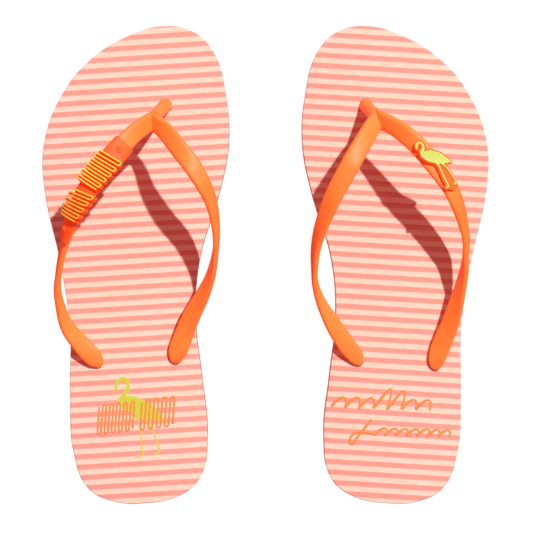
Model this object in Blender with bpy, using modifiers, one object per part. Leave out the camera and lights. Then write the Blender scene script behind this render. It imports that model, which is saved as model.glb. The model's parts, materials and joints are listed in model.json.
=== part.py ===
"""A pair of women's flip flops with Y-shaped soft straps and snap-on strap charms.

World axes: +X to the right, +Y towards the toes, +Z up. The ground is z = 0 and the origin lies
between the two sandals. Each sandal is laid out in its own frame: u towards the big toe, v towards
the toe tip, h above the footbed.
"""
import math

import bmesh
import bpy
from mathutils import Matrix, Vector

MM = 0.001
GAP = 0.3 * MM                      # clearance between pieces that touch

# ---- how the two sandals stand
SANDAL_X = 66.9 * MM                # sandal centre from the pair's middle
SANDAL_Y = 0.36 * MM                # puts the origin halfway along the pair
TOE_OUT = math.radians(3.5)         # each toe points this far outwards

# ---- sole
OUTSOLE_TOP = 3.0 * MM
MIDSOLE_TOP = 11.7 * MM
FOOTBED_TOP = 15.0 * MM
FLEX_V = 32.0 * MM                  # the ball of the foot, where the sole bends
SOLE_OUTLINE = (                    # (u, v) in mm, anticlockwise from the heel's end
    (-4, -124.5), (15, -121.5), (26, -113), (31, -92), (30, -60), (28.6, -30), (32.5, 0),
    (45.5, 36), (51.5, 60), (51.5, 86), (46.5, 108), (36, 119.5), (21, 123), (5, 119.8),
    (-17.5, 108), (-34, 90), (-44.5, 66), (-46, 46), (-39.5, 0), (-37, -30), (-39, -66),
    (-39, -96), (-32.5, -115), (-20, -122.5),
)

# ---- strap
STRAP_HALF_WIDTH = 5.25 * MM
STRAP_RISE = 2.0 * MM               # the convex top, above the section's widest line
STRAP_DROP = 1.3 * MM               # the flatter underside, below it
FULL_SCALE = 0.84
SECTION_POWER = 0.65                # below 1, the section is boxier than an ellipse
SHAFT_R = 3.2 * MM
HOLE_R = SHAFT_R + 0.4 * MM
COLLAR_R = 3.9 * MM                 # the round end of an arm, flat on the footbed
PLUG_R = 7.2 * MM
PLUG_HOLE_R = PLUG_R + 0.4 * MM
PLUG_FLOOR = 0.6 * MM               # the plugs stay clear of the ground
TOE_HOLE = (19.7, 81.9)
MEDIAL_HOLE = (18.6, -45.8)
LATERAL_HOLE = (-25.0, -45.8)
# Stations along an arm, toe to heel: u, v, h in mm, roll in degrees, width scale. The outer edge
# turns down as the roll grows, and the arm ends with its inner face up, near 180 degrees. Where
# the width scale falls below FULL_SCALE, the strap thins too.
LEFT_MEDIAL = (
    (8.6, 77.2, 26.0, -38, 0.92), (14.4, 71.9, 30.4, -37, 0.93), (19.9, 66.5, 34.2, -26, 0.92),
    (26.2, 57.5, 40.0, -12, 0.92), (34.1, 45.5, 42.5, 18, 0.90), (41.0, 29.0, 36.8, 56, 0.88),
    (42.2, 11.0, 28.0, 84, 0.84), (38.8, -6.0, 19.6, 112, 0.84), (33.8, -17.0, 14.2, 136, 0.88),
    (26.9, -28.5, 9.3, 160, 0.92), (22.5, -37.5, 5.6, 174, 0.94), (18.6, -46.0, 3.3, 170, 0.96),
    (17.5, -49.6, 2.4, 172, 0.74), (17.2, -51.8, 1.8, 174, 0.48), (17.1, -52.9, 1.4, 176, 0.18),
)
LEFT_LATERAL = (
    (21.5, 76.5, 23.0, -32, 0.92), (13.4, 72.6, 29.5, -30, 0.92), (6.4, 68.1, 35.0, -24, 0.92),
    (0.0, 62.5, 39.0, -14, 0.94), (-9.6, 52.0, 42.0, 2, 0.95), (-23.2, 34.8, 38.0, 32, 0.94),
    (-34.3, 14.0, 27.5, 66, 0.87), (-40.4, -8.0, 17.5, 93, 0.84), (-40.0, -20.0, 12.5, 110, 0.84),
    (-37.3, -30.5, 8.3, 134, 0.89), (-31.4, -39.5, 5.2, 162, 0.92),
    (-26.0, -46.4, 2.9, 180, 0.92), (-23.6, -49.6, 2.1, 180, 0.72), (-22.9, -51.3, 1.7, 180, 0.48),
    (-22.7, -52.5, 1.3, 180, 0.18),
)
RIGHT_MEDIAL = (
    (9.4, 80.2, 23.3, -24, 0.90), (14.4, 73.2, 29.2, -22, 0.90), (18.4, 66.0, 34.5, -18, 0.92),
    (23.0, 57.0, 39.0, -8, 0.94), (27.6, 47.5, 41.0, 4, 0.95), (35.5, 29.5, 36.5, 28, 0.94),
    (41.0, 9.0, 26.5, 62, 0.88), (40.8, -9.5, 18.0, 92, 0.84), (37.6, -20.0, 13.4, 112, 0.84),
    (31.2, -31.0, 9.0, 141, 0.89), (25.6, -38.8, 5.8, 162, 0.92), (21.0, -44.6, 3.5, 175, 0.90),
    (17.3, -48.6, 2.3, 180, 0.80), (15.2, -51.4, 1.9, 180, 0.58), (14.5, -52.8, 1.6, 180, 0.38),
    (14.3, -53.8, 1.3, 180, 0.16),
)
RIGHT_LATERAL = (
    (21.5, 77.7, 23.4, -38, 0.92), (13.8, 73.6, 29.2, -36, 0.93), (6.0, 70.0, 33.5, -28, 0.93),
    (-2.3, 64.4, 37.0, -15, 0.92), (-11.7, 55.6, 38.5, 2, 0.93), (-25.5, 39.0, 34.5, 34, 0.92),
    (-34.2, 18.0, 24.5, 70, 0.86), (-35.3, 6.5, 19.6, 88, 0.84), (-34.9, -5.0, 15.2, 112, 0.86),
    (-31.0, -27.0, 8.5, 148, 0.93), (-26.7, -41.0, 4.4, 165, 0.97), (-25.2, -47.4, 3.1, 170, 0.86),
    (-24.9, -50.6, 2.3, 172, 0.68), (-24.9, -52.6, 1.8, 174, 0.44), (-24.9, -53.7, 1.4, 176, 0.16),
)
# The crease where the two arms meet, rear end first: u, v, h in mm
LEFT_CREASE = ((13.3, 66.7, 29.3), (13.9, 77.6, 26.4))
RIGHT_CREASE = ((12.7, 67.8, 30.0), (14.8, 78.5, 27.3))
CREASE_OVERLAP = 0.2 * MM           # each arm passes the crease by this much
VALLEY_SLOPE = 0.72                 # how steeply the arms rise beside the crease
POST_TOP = (14.3, 73.8)             # u, v in mm of the toe post's top, under the crease
POST_FOOT = (19.5, 81.4)            # and of its foot, round the toe hole
POST_RADII = ((0.0, 3.7), (0.08, 3.7), (0.2, 3.4), (0.6, 3.4), (0.9, 3.6))      # share, mm
POST_R = 3.7 * MM
ARM_STEPS = 30

# ---- charms
BAND_THICKNESS = 1.1 * MM
BAND_SPAN = (61.3, 14.5)            # v in mm, along the left sandal's outer arm
STUD_AT = (58.2, 19.8)
MEANDER_SPANS = ((54.2, 41.4), (37.6, 25.6))
MEANDER_STROKES = (11, 9)
MEANDER_REACH = ((7.2, -5.2), (6.4, -6.4))       # mm from the arm's middle, outwards positive
MEANDER_LEAN = (0.10, 0.26)         # how far along a stroke drifts for each mm across
MEANDER_R = 0.55 * MM
STUD_BORE_R = 1.4 * MM
FLAMINGO_AT = 63.5                  # v in mm of the bird's head, on the right sandal's outer arm
FLAMINGO_NECK = ((5.9, -2.4), (4.3, -1.2), (3.7, 0.9), (5.0, 2.4), (7.1, 1.6), (8.5, -0.6),
                 (10.4, -1.2))
FLAMINGO_BODY = (13.3, 1.6, 5.2, 3.2, 40)       # middle x, y, half length, half width, turn
FLAMINGO_TAIL = ((15.3, 3.4), (18.6, 5.2), (21.0, 6.5))
FLAMINGO_LEGS = (((17.0, 1.4), (20.9, -0.2), (24.5, -1.7), (28.9, -3.1), (29.3, -4.9)),
                 ((17.4, 2.6), (21.6, 2.8), (24.6, 2.6), (29.6, 2.0), (30.2, 0.6)))
FLAMINGO_HOOD = ((3.1, 0.5), (6.0, 0.6), (10.4, -0.6))      # the base under the head and neck
FLAMINGO_WEB = ((16.8, 2.0), (22.0, 1.1), (26.6, 0.1), (30.2, -0.6))      # the base under the legs

# ---- colours: (red, green, blue), roughness
PINK_EVA = (0.96, 0.42, 0.33), 0.85
CORAL_EVA = (0.93, 0.36, 0.28), 0.8
CORAL_RUBBER = (0.90, 0.33, 0.26), 0.7
ORANGE_PVC = (1.0, 0.33, 0.07), 0.35
RED_PVC = (1.0, 0.17, 0.05), 0.4
YELLOW_PVC = (1.0, 0.85, 0.16), 0.35
LIME_PVC = (0.80, 0.90, 0.18), 0.35


def clear_scene():
    for obj in list(bpy.data.objects):
        bpy.data.objects.remove(obj)


def new_collection(name):
    collection = bpy.data.collections.new(name)
    bpy.context.scene.collection.children.link(collection)
    return collection


def material(name, finish):
    colour, roughness = finish
    made = bpy.data.materials.get(name)
    if made is None:
        made = bpy.data.materials.new(name)
        made.use_nodes = True
        shader = made.node_tree.nodes["Principled BSDF"]
        shader.inputs["Base Color"].default_value = (*colour, 1)
        shader.inputs["Roughness"].default_value = roughness
    return made


def object_of(name, mesh, collection, parent=None):
    obj = bpy.data.objects.new(name, mesh)
    collection.objects.link(obj)
    obj.parent = parent
    return obj


def curve_to_mesh(curve, weld=0.01 * MM):
    """The mesh of a curve that stands alone, with its caps welded on."""
    holder = object_of("curve", curve, bpy.context.scene.collection)
    evaluated = holder.evaluated_get(bpy.context.evaluated_depsgraph_get())
    mesh = bpy.data.meshes.new_from_object(evaluated)
    bm = bmesh.new()
    bm.from_mesh(mesh)
    bmesh.ops.remove_doubles(bm, verts=bm.verts, dist=weld)
    bmesh.ops.recalc_face_normals(bm, faces=bm.faces)
    bm.to_mesh(mesh)
    bm.free()
    bpy.data.objects.remove(holder)
    return mesh


def outward(mesh):
    """Turns every face to point out of its solid."""
    bm = bmesh.new()
    bm.from_mesh(mesh)
    bmesh.ops.recalc_face_normals(bm, faces=bm.faces)
    bm.to_mesh(mesh)
    bm.free()


def cylinder(radius, bottom, top, sides=24):
    bm = bmesh.new()
    bmesh.ops.create_cone(bm, cap_ends=True, segments=sides, radius1=radius, radius2=radius,
                          depth=top - bottom,
                          matrix=Matrix.Translation((0, 0, (top + bottom) / 2)))
    mesh = bpy.data.meshes.new("cylinder")
    bm.to_mesh(mesh)
    bm.free()
    return mesh


def turned(profile, sides=20):
    """A solid of revolution about Z: the profile runs down the outer side, from axis to axis."""
    mesh = bpy.data.meshes.new("profile")
    points = [(radius, 0, z) for radius, z in profile]
    mesh.from_pydata(points, [(i, i + 1) for i in range(len(points) - 1)], [])
    holder = object_of("turned", mesh, bpy.context.scene.collection)
    screw = holder.modifiers.new("Screw", "SCREW")
    screw.steps = screw.render_steps = sides
    screw.use_merge_vertices = True
    screw.merge_threshold = 0.01 * MM
    evaluated = holder.evaluated_get(bpy.context.evaluated_depsgraph_get())
    solid = bpy.data.meshes.new_from_object(evaluated)
    bpy.data.objects.remove(holder)
    return solid


class Arm:
    """One arm of a strap, as a smooth function of v between its stations."""

    def __init__(self, stations, side, medial):
        self.rows = sorted(stations, key=lambda row: row[1])
        self.side = side            # +1 on the left sandal, -1 on the right one
        self.outward = side if medial else -side

    def values(self, v):
        rows = self.rows
        last = len(rows) - 2
        i = next((k for k in range(last) if v <= rows[k + 1][1]), last)
        span = rows[i + 1][1] - rows[i][1]
        t = (v - rows[i][1]) / span

        def slope(k, column):
            low, high = max(k - 1, 0), min(k + 1, len(rows) - 1)
            return (rows[high][column] - rows[low][column]) / (rows[high][1] - rows[low][1])

        def hermite(column):
            a, b = rows[i][column], rows[i + 1][column]
            ma, mb = slope(i, column) * span, slope(i + 1, column) * span
            return (a * (2 * t**3 - 3 * t**2 + 1) + ma * (t**3 - 2 * t**2 + t)
                    + b * (3 * t**2 - 2 * t**3) + mb * (t**3 - t**2))

        return [hermite(column) for column in (0, 2, 3, 4)]

    def point(self, v):
        u, h = self.values(v)[:2]
        return Vector((self.side * u * MM, v * MM, FOOTBED_TOP + h * MM))

    def roll(self, v):
        return math.radians(self.values(v)[2])

    def scale(self, v):
        return self.values(v)[3]

    def frame(self, v):
        """Heelwards, outwards and up from the arm's surface, at a station."""
        along = (self.point(v - 0.5) - self.point(v + 0.5)).normalized()
        level = Vector((0, 0, 1)).cross(along).normalized()
        if level.x * self.outward < 0:
            level.negate()
        up = along.cross(level)
        if up.z < 0:
            up.negate()
        across = level * math.cos(self.roll(v)) - up * math.sin(self.roll(v))
        normal = up * math.cos(self.roll(v)) + level * math.sin(self.roll(v))
        return along, across, normal

    def on_surface(self, v, across, above):
        """A point by its distance across the arm and above its middle line."""
        frame = self.frame(v)
        return self.point(v) + frame[1] * across + frame[2] * above

    def place(self, v):
        """The matrix that stands an upright piece on the arm."""
        along, across, normal = self.frame(v)
        turn = Matrix((across, normal.cross(across), normal)).transposed().to_4x4()
        return Matrix.Translation(self.point(v)) @ turn

    def walk(self, start, finish, steps):
        """Values of v, evenly spaced along the arm itself."""
        fine = [start + (finish - start) * k / 400 for k in range(401)]
        length = [0.0]
        for here, there in zip(fine, fine[1:]):
            length.append(length[-1] + (self.point(there) - self.point(here)).length)
        found, k = [], 0
        for step in range(steps + 1):
            wanted = length[-1] * step / steps
            while k < 399 and length[k + 1] < wanted:
                k += 1
            share = (wanted - length[k]) / (length[k + 1] - length[k])
            found.append(fine[k] + (fine[k + 1] - fine[k]) * min(share, 1))
        return found


def loft(rings):
    """A closed tube through rings of points, with a face at each end."""
    bm = bmesh.new()
    made = [[bm.verts.new(point) for point in ring] for ring in rings]
    count = len(made[0])
    for ring, after in zip(made, made[1:]):
        for i in range(count):
            j = (i + 1) % count
            bm.faces.new((ring[i], ring[j], after[j], after[i]))
    bm.faces.new(made[0])
    bm.faces.new(made[-1])
    bmesh.ops.recalc_face_normals(bm, faces=bm.faces)
    mesh = bpy.data.meshes.new("loft")
    bm.to_mesh(mesh)
    bm.free()
    return mesh


def sweep(arm, stations, section):
    """A closed section (across, above) swept along an arm."""
    rings = []
    for v in stations:
        k = arm.scale(v)
        thin = min(1.0, k / FULL_SCALE)
        rings.append([arm.on_surface(v, x * k, z * thin) for x, z in section])
    return loft(rings)


def trimmed(mesh, point, away):
    """The mesh cut flat at a plane, without what lies on its far side."""
    bm = bmesh.new()
    bm.from_mesh(mesh)
    found = bmesh.ops.bisect_plane(bm, geom=bm.verts[:] + bm.edges[:] + bm.faces[:],
                                   plane_co=point, plane_no=away, clear_outer=True, dist=1e-7)
    rim = [piece for piece in found["geom_cut"] if isinstance(piece, bmesh.types.BMEdge)]
    bmesh.ops.contextual_create(bm, geom=rim)
    bmesh.ops.recalc_face_normals(bm, faces=bm.faces)
    bm.to_mesh(mesh)
    bm.free()
    return mesh


def section_point(angle, grow=0.0):
    """A point (across, above) on the strap's section, or outside it by grow."""
    cosine, sine = math.cos(angle), math.sin(angle)
    height = STRAP_RISE if sine > 0 else STRAP_DROP
    return ((STRAP_HALF_WIDTH + grow) * math.copysign(abs(cosine) ** SECTION_POWER, cosine),
            (height + grow) * math.copysign(abs(sine) ** SECTION_POWER, sine))


def strap_section(points=10):
    return [section_point(math.tau * k / points) for k in range(points)]


def band_section(points=5):
    """A thin cap that follows the strap's convex top."""
    def arc(grow):
        return [section_point(math.radians(18 + 144 * k / (points - 1)), grow)
                for k in range(points)]
    return arc(GAP * 1.3) + arc(GAP * 1.3 + BAND_THICKNESS)[::-1]


def tube(points, radii, resolution=2):
    """A round bar through the points, with a radius at each."""
    curve = bpy.data.curves.new("bar", "CURVE")
    curve.dimensions = "3D"
    curve.bevel_depth = 1.0
    curve.bevel_resolution = resolution
    curve.use_fill_caps = True
    spline = curve.splines.new("POLY")
    spline.points.add(len(points) - 1)
    for knot, point, radius in zip(spline.points, points, radii):
        knot.co = (*point, 1)
        knot.radius = radius
    return curve_to_mesh(curve)


def smooth_path(points, steps):
    """A Catmull-Rom line through a few points."""
    points = [Vector(p) for p in points]
    ends = [points[0] * 2 - points[1]] + points + [points[-1] * 2 - points[-2]]
    found = []
    for a, b, c, d in zip(ends, ends[1:], ends[2:], ends[3:]):
        for k in range(steps):
            t = k / steps
            found.append(0.5 * (2 * b + (c - a) * t + (2 * a - 5 * b + 4 * c - d) * t**2
                                + (3 * b - a - 3 * c + d) * t**3))
    return found + [points[-1]]


class Sandal:
    def __init__(self, name, side, medial, lateral, crease, collection, cutters):
        self.name, self.side, self.crease = name, side, crease
        self.collection, self.cutters = collection, cutters
        self.medial, self.lateral = Arm(medial, side, True), Arm(lateral, side, False)
        self.root = bpy.data.objects.new(f"{name}_sandal", None)
        self.root.location = (-side * SANDAL_X, SANDAL_Y, 0)
        self.root.rotation_euler.z = side * TOE_OUT
        collection.objects.link(self.root)

    def at(self, u, v, z=0.0):
        return Vector((self.side * u * MM, v * MM, z))

    def piece(self, name, mesh, finish, matrix=Matrix()):
        obj = object_of(f"{self.name}_{name}", mesh, self.collection, self.root)
        obj.matrix_local = matrix
        obj.data.materials.clear()
        obj.data.materials.append(material(*finish))
        return obj

    def cutter(self, name, mesh, matrix=Matrix()):
        obj = object_of(f"{self.name}_{name}_tool", mesh, self.cutters, self.root)
        obj.matrix_local = matrix
        obj.hide_render = True
        obj.display_type = "WIRE"
        return obj

    def boolean(self, obj, tool, operation="DIFFERENCE"):
        step = obj.modifiers.new(tool.name, "BOOLEAN")
        step.operation = operation
        step.solver = "EXACT"
        step.use_self = operation == "UNION"
        step.object = tool

    def slab(self, bottom, top):
        """The sole's outline as a flat plate."""
        curve = bpy.data.curves.new("outline", "CURVE")
        curve.dimensions = "2D"
        curve.fill_mode = "BOTH"
        curve.extrude = (top - bottom) / 2
        spline = curve.splines.new("BEZIER")
        spline.resolution_u = 3
        spline.use_cyclic_u = True
        spline.bezier_points.add(len(SOLE_OUTLINE) - 1)
        for knot, (u, v) in zip(spline.bezier_points, SOLE_OUTLINE):
            knot.co = self.at(u, v)
            knot.handle_left_type = knot.handle_right_type = "AUTO"
        mesh = curve_to_mesh(curve)
        mesh.transform(Matrix.Translation((0, 0, (top + bottom) / 2)))
        return mesh

    def half_space(self, front):
        """A block over everything before or behind the flex line."""
        near, far = FLEX_V + (GAP / 2 if front else -GAP / 2), (0.3 if front else -0.3)
        bm = bmesh.new()
        bmesh.ops.create_cube(bm, size=1.0)
        mesh = bpy.data.meshes.new("block")
        bm.to_mesh(mesh)
        bm.free()
        mesh.transform(Matrix.Translation((0, (near + far) / 2, 0))
                       @ Matrix.Diagonal((0.4, abs(far - near), 0.2, 1)))
        return mesh

    def sole(self):
        layers = (("footbed", MIDSOLE_TOP + GAP, FOOTBED_TOP, HOLE_R, ("printed EVA", PINK_EVA)),
                  ("midsole", OUTSOLE_TOP + GAP, MIDSOLE_TOP, HOLE_R, ("EVA foam", CORAL_EVA)),
                  ("outsole", 0.0, OUTSOLE_TOP, PLUG_HOLE_R, ("rubber", CORAL_RUBBER)))
        front = self.cutter("front", self.half_space(True))
        rear = self.cutter("rear", self.half_space(False))
        for name, bottom, top, hole_r, finish in layers:
            hole = cylinder(hole_r, bottom - 2 * MM, top + 2 * MM)
            for end, keep, holes in (("front", front, (TOE_HOLE,)),
                                     ("rear", rear, (MEDIAL_HOLE, LATERAL_HOLE))):
                half = self.piece(f"{name}_{end}", self.slab(bottom, top), finish)
                self.boolean(half, keep, "INTERSECT")
                for k, (u, v) in enumerate(holes):
                    place = Matrix.Translation(self.at(u, v))
                    self.boolean(half, self.cutter(f"{name}_{end}_hole_{k}", hole, place))

    def plug(self, collar):
        """The mushroom end of a strap leg, with a round collar on the footbed or a bare shaft."""
        under, lip = OUTSOLE_TOP, 0.6 * MM
        profile = [(0, FOOTBED_TOP + 1.2 * MM), (SHAFT_R, FOOTBED_TOP + 1.2 * MM)]
        if collar:
            base = FOOTBED_TOP + GAP
            full = COLLAR_R
            profile = [(0, base + 3.0 * MM), (0.6 * full, base + 2.8 * MM),
                       (0.93 * full, base + 2.1 * MM), (full, base + 1.2 * MM),
                       (0.9 * full, base), (SHAFT_R, base)]
        profile += [(SHAFT_R, under), (PLUG_R, under), (PLUG_R, PLUG_FLOOR + lip),
                    (PLUG_R - lip, PLUG_FLOOR), (0, PLUG_FLOOR)]
        return turned(profile)

    def valley(self, u, v):
        """The height (mm) of the arms' middle surface beside their crease."""
        (u0, v0, h0), (u1, v1, h1) = self.crease
        share = (v - v0) / (v1 - v0)
        return h0 + (h1 - h0) * share + VALLEY_SLOPE * abs(u - u0 - (u1 - u0) * share)

    def post(self, sides=18):
        """The toe post: a flared foot, a lean back, and a top that fills the arms' valley."""
        def ring(u, v, radius):
            angles = [math.tau * k / sides for k in range(sides)]
            return [(u + radius / MM * math.cos(a), v + radius / MM * math.sin(a)) for a in angles]

        foot, low, high = POST_FOOT, GAP / MM, self.valley(*POST_TOP)
        rings = []
        for share, radius in POST_RADII:
            u, v = (a + (b - a) * share for a, b in zip(foot, POST_TOP))
            level = FOOTBED_TOP + (low + (high - low) * share) * MM
            rings.append([self.at(*place, level) for place in ring(u, v, radius * MM)])
        for radius in (POST_R, 0.6 * POST_R, 0.2 * POST_R):
            rings.append([self.at(*place, FOOTBED_TOP + self.valley(*place) * MM)
                          for place in ring(*POST_TOP, radius)])
        return loft(rings)

    def arm_solid(self, arm):
        """One arm of the strap, cut off where it meets the other one."""
        steps = arm.walk(arm.rows[-1][1], arm.rows[0][1], ARM_STEPS)
        rear, front = (self.at(u, v) for u, v, h in self.crease)
        away = Vector((0, 0, 1)).cross(front - rear).normalized()
        if away.x * arm.outward > 0:
            away.negate()
        return trimmed(sweep(arm, steps, strap_section()), rear + away * CREASE_OVERLAP, away)

    def strap(self):
        strap = self.piece("strap", self.arm_solid(self.medial), ("soft PVC", ORANGE_PVC))
        joined = [("arm", self.arm_solid(self.lateral), Matrix()),
                  ("post", self.post(), Matrix()),
                  ("toe_plug", self.plug(False), Matrix.Translation(self.at(*TOE_HOLE))),
                  ("medial_plug", self.plug(True), Matrix.Translation(self.at(*MEDIAL_HOLE))),
                  ("lateral_plug", self.plug(True), Matrix.Translation(self.at(*LATERAL_HOLE)))]
        for name, mesh, place in joined:
            self.boolean(strap, self.cutter(name, mesh, place), "UNION")
        return strap

    def band_charm(self, strap):
        """The snap-on band with its two studs and two raised meanders."""
        arm = self.lateral
        red, yellow = ("red PVC", RED_PVC), ("yellow PVC", YELLOW_PVC)
        band = self.piece("charm_band", sweep(arm, arm.walk(*BAND_SPAN, 12), band_section()), red)
        top = STRAP_RISE + 1.3 * GAP + BAND_THICKNESS
        for name, v in zip(("front", "rear"), STUD_AT):
            bore = self.cutter(f"{name}_bore", cylinder(STUD_BORE_R, -9 * MM, 9 * MM, 12),
                               arm.place(v))
            self.boolean(band, bore)
            self.boolean(strap, bore)
            self.piece(f"charm_stud_{name}", self.stud(top), red, arm.place(v))
        for k, name in enumerate(("front", "rear")):
            mesh = self.meander(arm, k, top + GAP + MEANDER_R)
            self.piece(f"charm_meander_{name}", mesh, yellow)

    def stud(self, top):
        shaft, head, foot = STUD_BORE_R - GAP, 1.9 * MM, 2.3 * MM
        low = -STRAP_DROP - GAP
        return turned(((0, top + 1.1 * MM), (1.2 * MM, top + 0.95 * MM), (head, top + 0.3 * MM),
                       (head, top + 0.1 * MM), (shaft, top + 0.1 * MM), (shaft, low),
                       (foot, low), (foot, low - 0.8 * MM), (0, low - 0.8 * MM)), 14)

    def meander(self, arm, group, above):
        """A narrow cord laid back and forth across the arm, in tall even loops."""
        (start, finish), strokes = MEANDER_SPANS[group], MEANDER_STROKES[group]
        outer, inner = MEANDER_REACH[group]
        middle, half = (outer + inner) / 2, (outer - inner) / 2
        points = []

        def lay(v, share, drop):
            across = middle + half * share
            shifted = along_arm(arm, v, MEANDER_LEAN[group] * (across - middle))
            points.append(arm.on_surface(shifted, across * MM, above - drop * MM))

        for k, v in enumerate(arm.walk(start, finish, strokes - 1)):
            sign = 1 if k % 2 else -1
            for share, drop in ((-1.0, 0.9), (-0.6, 0.2), (0.0, 0.0), (0.6, 0.2), (1.0, 0.9)):
                lay(v, share * sign, drop)
        return tube(points, [MEANDER_R] * len(points), 0)

    def flamingo_charm(self, strap):
        """A small bird in two colours, pegged through the strap."""
        arm = self.lateral
        base_low = STRAP_RISE + 1.3 * GAP
        base = self.bird("flamingo_base", arm, base_low + 0.55 * MM, 0.7 * MM, 0.55 * MM,
                         ("red PVC", RED_PVC))
        self.bird("flamingo_figure", arm, base_low + 1.1 * MM + GAP + 0.4 * MM, 0.0, 0.4 * MM,
                  ("lime PVC", LIME_PVC))
        peg_v = FLAMINGO_AT - 10.0
        peg = turned(((0, base_low + 0.6 * MM), (STUD_BORE_R - GAP, base_low + 0.6 * MM),
                      (STUD_BORE_R - GAP, -STRAP_DROP - GAP), (2.3 * MM, -STRAP_DROP - GAP),
                      (2.3 * MM, -STRAP_DROP - GAP - 0.8 * MM),
                      (0, -STRAP_DROP - GAP - 0.8 * MM)), 12)
        place = arm.place(peg_v)
        self.boolean(base, self.cutter("peg", peg, place), "UNION")
        self.boolean(strap, self.cutter("peg_bore", cylinder(STUD_BORE_R, -9 * MM, 9 * MM, 12),
                                        place))

    def bird(self, name, arm, above, grow, half_height, finish):
        """The bird's parts as flattened bars in one plane, laid on the arm."""
        def bar(points, radii, steps=2):
            path = smooth_path([(x * MM, y * MM, 0) for x, y in points], steps)
            spread = [radii[0] + (radii[1] - radii[0]) * k / (len(path) - 1)
                      for k in range(len(path))]
            return tube(path, [r * MM + grow for r in spread], 1)

        def laid(mesh, flatten):
            for vertex in mesh.vertices:
                x, y, z = vertex.co / MM
                v = along_arm(arm, FLAMINGO_AT, x)
                vertex.co = arm.on_surface(v, y * MM, above + z * MM * flatten)
            outward(mesh)
            return mesh

        x, y, length, width, turn = FLAMINGO_BODY
        bm = bmesh.new()
        bmesh.ops.create_uvsphere(bm, u_segments=14, v_segments=6, radius=1.0)
        body = bpy.data.meshes.new("body")
        bm.to_mesh(body)
        bm.free()
        body.transform(Matrix.Translation((x * MM, y * MM, 0))
                       @ Matrix.Rotation(math.radians(turn), 4, "Z")
                       @ Matrix.Diagonal((length * MM + grow, width * MM + grow, MM, 1)))
        parts = [body, bar(FLAMINGO_TAIL, (2.0, 0.6))]
        if grow:
            parts += [bar(FLAMINGO_HOOD, (2.3, 1.5)), bar(FLAMINGO_WEB, (1.4, 3.1))]
        else:
            parts.append(bar(FLAMINGO_NECK, (0.65, 1.3), 3))
            parts += [bar(leg, (0.5, 0.42)) for leg in FLAMINGO_LEGS]
        meshes = []
        for k, mesh in enumerate(parts):
            height = half_height * (1 - 0.05 * k)
            meshes.append(laid(mesh, height / max(vertex.co.z for vertex in mesh.vertices)))
        obj = self.piece(name, meshes[0], finish)
        for k, mesh in enumerate(meshes[1:]):
            self.boolean(obj, self.cutter(f"{name}_{k}", mesh), "UNION")
        return obj


def along_arm(arm, start, distance):
    """The v that lies a distance (mm) along an arm from a start."""
    step, gone, v = 0.25, 0.0, start
    sign = 1 if distance >= 0 else -1
    while gone < abs(distance):
        gone += (arm.point(v - sign * step) - arm.point(v)).length / MM
        v -= sign * step
    return v


def main():
    clear_scene()
    pair = new_collection("flip_flops")
    cutters = new_collection("cutters")
    left = Sandal("left", 1, LEFT_MEDIAL, LEFT_LATERAL, LEFT_CREASE, pair, cutters)
    right = Sandal("right", -1, RIGHT_MEDIAL, RIGHT_LATERAL, RIGHT_CREASE, pair, cutters)
    for sandal in (left, right):
        sandal.sole()
    left.band_charm(left.strap())
    right.flamingo_charm(right.strap())


main()
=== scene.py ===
"""Looks for a pair of striped flip flops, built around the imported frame.

Each sandal is laid out in its own frame: u towards the big toe, v towards the toe tip, and z up,
all read from its flex hinge. Lengths are in metres, and u, v and h in mm.
"""
import bisect
import json
import math
import random

import bmesh
import bpy
from mathutils import Matrix, Vector

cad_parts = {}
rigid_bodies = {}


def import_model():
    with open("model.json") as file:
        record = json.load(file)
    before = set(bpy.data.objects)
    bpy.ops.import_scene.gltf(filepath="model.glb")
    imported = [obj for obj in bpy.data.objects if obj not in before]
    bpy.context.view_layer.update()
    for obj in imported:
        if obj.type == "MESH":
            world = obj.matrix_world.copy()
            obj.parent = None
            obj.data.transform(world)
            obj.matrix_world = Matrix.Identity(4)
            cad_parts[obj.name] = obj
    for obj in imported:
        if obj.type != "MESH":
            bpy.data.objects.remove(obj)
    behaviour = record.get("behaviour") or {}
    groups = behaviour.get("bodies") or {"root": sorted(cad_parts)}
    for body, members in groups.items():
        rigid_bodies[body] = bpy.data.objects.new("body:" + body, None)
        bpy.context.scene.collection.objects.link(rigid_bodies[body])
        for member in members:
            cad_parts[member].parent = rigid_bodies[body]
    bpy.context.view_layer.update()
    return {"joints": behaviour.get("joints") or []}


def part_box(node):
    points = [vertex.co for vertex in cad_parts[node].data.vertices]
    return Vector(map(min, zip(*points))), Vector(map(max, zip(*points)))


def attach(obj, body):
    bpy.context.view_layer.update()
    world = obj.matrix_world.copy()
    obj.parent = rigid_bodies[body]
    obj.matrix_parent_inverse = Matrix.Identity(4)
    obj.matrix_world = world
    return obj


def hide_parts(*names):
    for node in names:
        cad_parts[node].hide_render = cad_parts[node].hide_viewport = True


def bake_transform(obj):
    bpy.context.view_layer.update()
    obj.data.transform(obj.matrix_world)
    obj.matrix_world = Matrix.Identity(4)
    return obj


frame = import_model()

MM = 0.001
UP = Vector((0, 0, 1))
JOINTS = {joint["name"]: joint for joint in frame["joints"]}

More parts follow.
